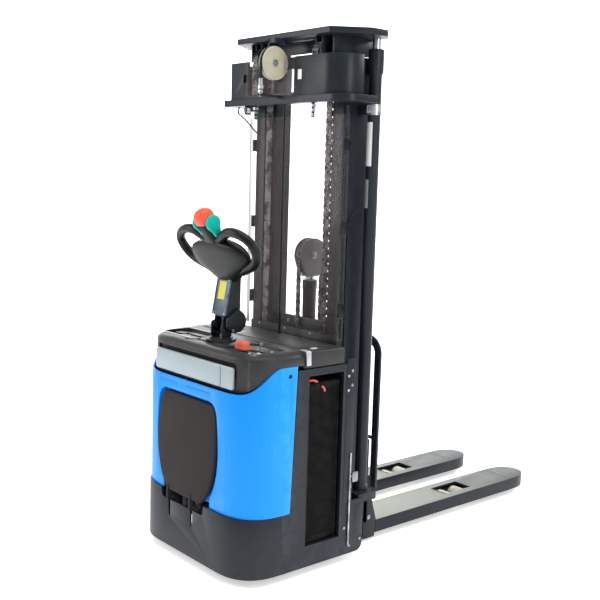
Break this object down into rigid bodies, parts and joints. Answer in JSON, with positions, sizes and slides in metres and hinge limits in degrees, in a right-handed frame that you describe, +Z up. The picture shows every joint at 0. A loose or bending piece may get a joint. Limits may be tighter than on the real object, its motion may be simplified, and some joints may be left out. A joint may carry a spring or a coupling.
{
  "type": "walkie stacker",
  "caption": "Electric stand-on pallet stacker with a telescopic triplex mast, straddle forks, a tiller with loop grips and a folding rider platform.",
  "frame": {"origin": "the middle of the machine's footprint on the floor", "axes": "+Z up, +Y towards the fork tips, +X to the operator's right as the operator faces the forks"},
  "size_m": [0.802, 1.9852, 2.195],
  "materials": {
    "frame_paint": "satin anthracite powder coat",
    "blue_cover": "smooth bright blue moulding",
    "dark_plastic": "fine-grained dark grey moulding",
    "silver_plastic": "silver painted moulding",
    "fork_paint": "grey-green paint, rubbed on top",
    "chrome": "polished piston rod",
    "steel": "zinc plated",
    "chain_steel": "oiled dark steel",
    "rubber": "black tread",
    "cream_nylon": "cream cast nylon",
    "clear_sheet": "clear polycarbonate sheet",
    "red_plastic": "orange-red moulding",
    "teal_plastic": "teal moulding",
    "handle_plastic": "black grained moulding",
    "casting": "raw casting"
  },
  "bodies": {
    "frame": {"chassis_frame": "frame_paint", "rear_skirt": "frame_paint", "drive_cover": "blue_cover", "top_cover": "dark_plastic", "rear_panel": "silver_plastic", "power_pack": "dark_plastic", "controller": "casting", "support_leg_left": "frame_paint", "support_leg_right": "frame_paint", "outer_rail_left": "frame_paint", "outer_rail_right": "frame_paint", "mast_head": "frame_paint", "mast_screen": "clear_sheet", "head_window": "clear_sheet", "lift_cylinder_left": "frame_paint", "lift_cylinder_right": "frame_paint"},
    "steering": {"steering_column": "frame_paint", "drive_unit": "casting"},
    "drive_wheel": {"drive_wheel": "rubber"},
    "tiller": {"tiller_arm": "frame_paint", "arm_side_cover": "frame_paint", "tiller_head": "handle_plastic", "handle_loop_left": "handle_plastic", "handle_loop_right": "handle_plastic"},
    "butterfly": {"butterfly": "teal_plastic"},
    "reverse_button": {"reverse_button": "red_plastic"},
    "lift_rocker": {"lift_rocker": "dark_plastic"},
    "horn_button": {"horn_button": "dark_plastic"},
    "emergency_connector": {"emergency_connector": "red_plastic"},
    "key": {"key_switch": "steel"},
    "platform": {"platform": "dark_plastic"},
    "battery_lid": {"battery_lid": "dark_plastic"},
    "battery": {"battery": "dark_plastic"},
    "latch": {"latch_rod": "steel"},
    "castor_left": {"castor_fork_left": "steel"},
    "castor_right": {"castor_fork_right": "steel"},
    "castor_left_wheel": {"castor_wheel_left": "rubber"},
    "castor_right_wheel": {"castor_wheel_right": "rubber"},
    "roller_left_rear": {"load_roller_left_rear": "cream_nylon"},
    "roller_left_front": {"load_roller_left_front": "cream_nylon"},
    "roller_right_rear": {"load_roller_right_rear": "cream_nylon"},
    "roller_right_front": {"load_roller_right_front": "cream_nylon"},
    "middle_stage": {"middle_mast": "frame_paint", "lift_rod_left": "chrome", "lift_rod_right": "chrome"},
    "inner_stage": {"inner_mast": "frame_paint", "free_lift_cylinder": "frame_paint", "mast_chain_left": "chain_steel", "mast_chain_right": "chain_steel", "free_chain_rear": "chain_steel"},
    "free_piston": {"free_lift_rod": "chrome"},
    "free_pulley": {"free_lift_pulley": "steel"},
    "carriage": {"fork_carriage": "frame_paint", "fork_left": "fork_paint", "fork_right": "fork_paint", "load_backrest": "frame_paint", "free_chain_front": "chain_steel"},
    "hose_wheel": {"hose_wheel": "cream_nylon"},
    "sheave_left": {"chain_sheave_left": "steel"},
    "sheave_right": {"chain_sheave_right": "steel"}
  },
  "joints": [
    {"name": "steering", "type": "hinge", "parent": "frame", "child": "steering", "pos_m": [0, -0.82235, 0.3], "axis": [0, 0, 1], "range_deg": [-90, 90]},
    {"name": "drive_wheel", "type": "hinge", "parent": "steering", "child": "drive_wheel", "pos_m": [0, -0.82235, 0.115], "axis": [1, 0, 0], "continuous": true},
    {"name": "tiller_tilt", "type": "hinge", "parent": "steering", "child": "tiller", "pos_m": [0, -0.82235, 0.992], "axis": [1, 0, 0], "range_deg": [0, 60], "stiffness_Nm_per_rad": 40, "springref_deg": -17.19},
    {"name": "butterfly_turn", "type": "hinge", "parent": "tiller", "child": "butterfly", "pos_m": [0, -0.89143, 1.38879], "axis": [1, 0, 0], "range_deg": [-25, 25], "stiffness_Nm_per_rad": 0.5},
    {"name": "reverse_button_press", "type": "slide", "parent": "tiller", "child": "reverse_button", "axis": [0, 0.4848, -0.8746], "range_m": [0, 0.005], "stiffness_N_per_m": 800, "springref_m": -0.002},
    {"name": "lift_rocker_tip", "type": "hinge", "parent": "tiller", "child": "lift_rocker", "pos_m": [0, -0.80308, 1.30056], "axis": [1, 0, 0], "range_deg": [-8, 8], "stiffness_Nm_per_rad": 0.3},
    {"name": "horn_press", "type": "slide", "parent": "tiller", "child": "horn_button", "axis": [0, -0.8746, -0.4848], "range_m": [0, 0.002], "stiffness_N_per_m": 600, "springref_m": -0.002},
    {"name": "connector_pull", "type": "slide", "parent": "frame", "child": "emergency_connector", "axis": [0, 0, 1], "range_m": [0, 0.04]},
    {"name": "key_turn", "type": "hinge", "parent": "frame", "child": "key", "pos_m": [0.258, -0.80935, 0.93], "axis": [0, 0, 1], "range_deg": [0, 90]},
    {"name": "platform_fold", "type": "hinge", "parent": "frame", "child": "platform", "pos_m": [-0.018, -0.97235, 0.252], "axis": [1, 0, 0], "range_deg": [0, 93]},
    {"name": "lid_hinge", "type": "hinge", "parent": "frame", "child": "battery_lid", "pos_m": [0, -0.47935, 0.884], "axis": [-1, 0, 0], "range_deg": [0, 52]},
    {"name": "battery_slide", "type": "slide", "parent": "frame", "child": "battery", "axis": [1, 0, 0], "range_m": [0, 0.6]},
    {"name": "latch_lift", "type": "slide", "parent": "frame", "child": "latch", "axis": [0, 0, 1], "range_m": [0, 0.04], "stiffness_N_per_m": 300, "springref_m": -0.01},
    {"name": "castor_left_swivel", "type": "hinge", "parent": "frame", "child": "castor_left", "pos_m": [-0.27, -0.81735, 0.14], "axis": [0, 0, 1], "continuous": true},
    {"name": "castor_right_swivel", "type": "hinge", "parent": "frame", "child": "castor_right", "pos_m": [0.27, -0.81735, 0.14], "axis": [0, 0, 1], "continuous": true},
    {"name": "castor_left_roll", "type": "hinge", "parent": "castor_left", "child": "castor_left_wheel", "pos_m": [-0.27, -0.84735, 0.055], "axis": [1, 0, 0], "continuous": true},
    {"name": "castor_right_roll", "type": "hinge", "parent": "castor_right", "child": "castor_right_wheel", "pos_m": [0.27, -0.84735, 0.055], "axis": [1, 0, 0], "continuous": true},
    {"name": "roller_left_rear_roll", "type": "hinge", "parent": "frame", "child": "roller_left_rear", "pos_m": [-0.195, 0.41065, 0.04], "axis": [1, 0, 0], "continuous": true},
    {"name": "roller_left_front_roll", "type": "hinge", "parent": "frame", "child": "roller_left_front", "pos_m": [-0.195, 0.51065, 0.04], "axis": [1, 0, 0], "continuous": true},
    {"name": "roller_right_rear_roll", "type": "hinge", "parent": "frame", "child": "roller_right_rear", "pos_m": [0.195, 0.41065, 0.04], "axis": [1, 0, 0], "continuous": true},
    {"name": "roller_right_front_roll", "type": "hinge", "parent": "frame", "child": "roller_right_front", "pos_m": [0.195, 0.51065, 0.04], "axis": [1, 0, 0], "continuous": true},
    {"name": "mast_lift", "type": "slide", "parent": "frame", "child": "middle_stage", "axis": [0, 0, 1], "range_m": [0, 1.45]},
    {"name": "inner_lift", "type": "slide", "parent": "middle_stage", "child": "inner_stage", "axis": [0, 0, 1], "range_m": [0, 1.45], "deforming": ["mast_chain_left", "mast_chain_right"]},
    {"name": "carriage_lift", "type": "slide", "parent": "inner_stage", "child": "carriage", "axis": [0, 0, 1], "range_m": [0, 1.44], "deforming": ["free_chain_front"]},
    {"name": "piston_lift", "type": "slide", "parent": "inner_stage", "child": "free_piston", "axis": [0, 0, 1], "range_m": [0, 0.73], "deforming": ["free_chain_rear"]},
    {"name": "free_pulley_spin", "type": "hinge", "parent": "free_piston", "child": "free_pulley", "pos_m": [0, -0.34235, 1.262], "axis": [1, 0, 0], "range_deg": [0, 640]},
    {"name": "hose_wheel_spin", "type": "hinge", "parent": "middle_stage", "child": "hose_wheel", "pos_m": [0, -0.57735, 2.068], "axis": [1, 0, 0], "range_deg": [0, 1280]},
    {"name": "sheave_left_spin", "type": "hinge", "parent": "middle_stage", "child": "sheave_left", "pos_m": [-0.197, -0.47635, 2.105], "axis": [1, 0, 0], "range_deg": [0, 1980]},
    {"name": "sheave_right_spin", "type": "hinge", "parent": "middle_stage", "child": "sheave_right", "pos_m": [0.197, -0.47635, 2.105], "axis": [1, 0, 0], "range_deg": [0, 1980]}
  ],
  "couplings": [
    {"joint": "inner_lift", "follows": "mast_lift", "ratio": 1},
    {"joint": "piston_lift", "follows": "carriage_lift", "ratio": 0.5},
    {"joint": "free_pulley_spin", "follows": "carriage_lift", "rad_per_m": 7.6336},
    {"joint": "hose_wheel_spin", "follows": "mast_lift", "rad_per_m": 15.152},
    {"joint": "sheave_left_spin", "follows": "mast_lift", "rad_per_m": 23.529},
    {"joint": "sheave_right_spin", "follows": "mast_lift", "rad_per_m": 23.529}
  ]
}
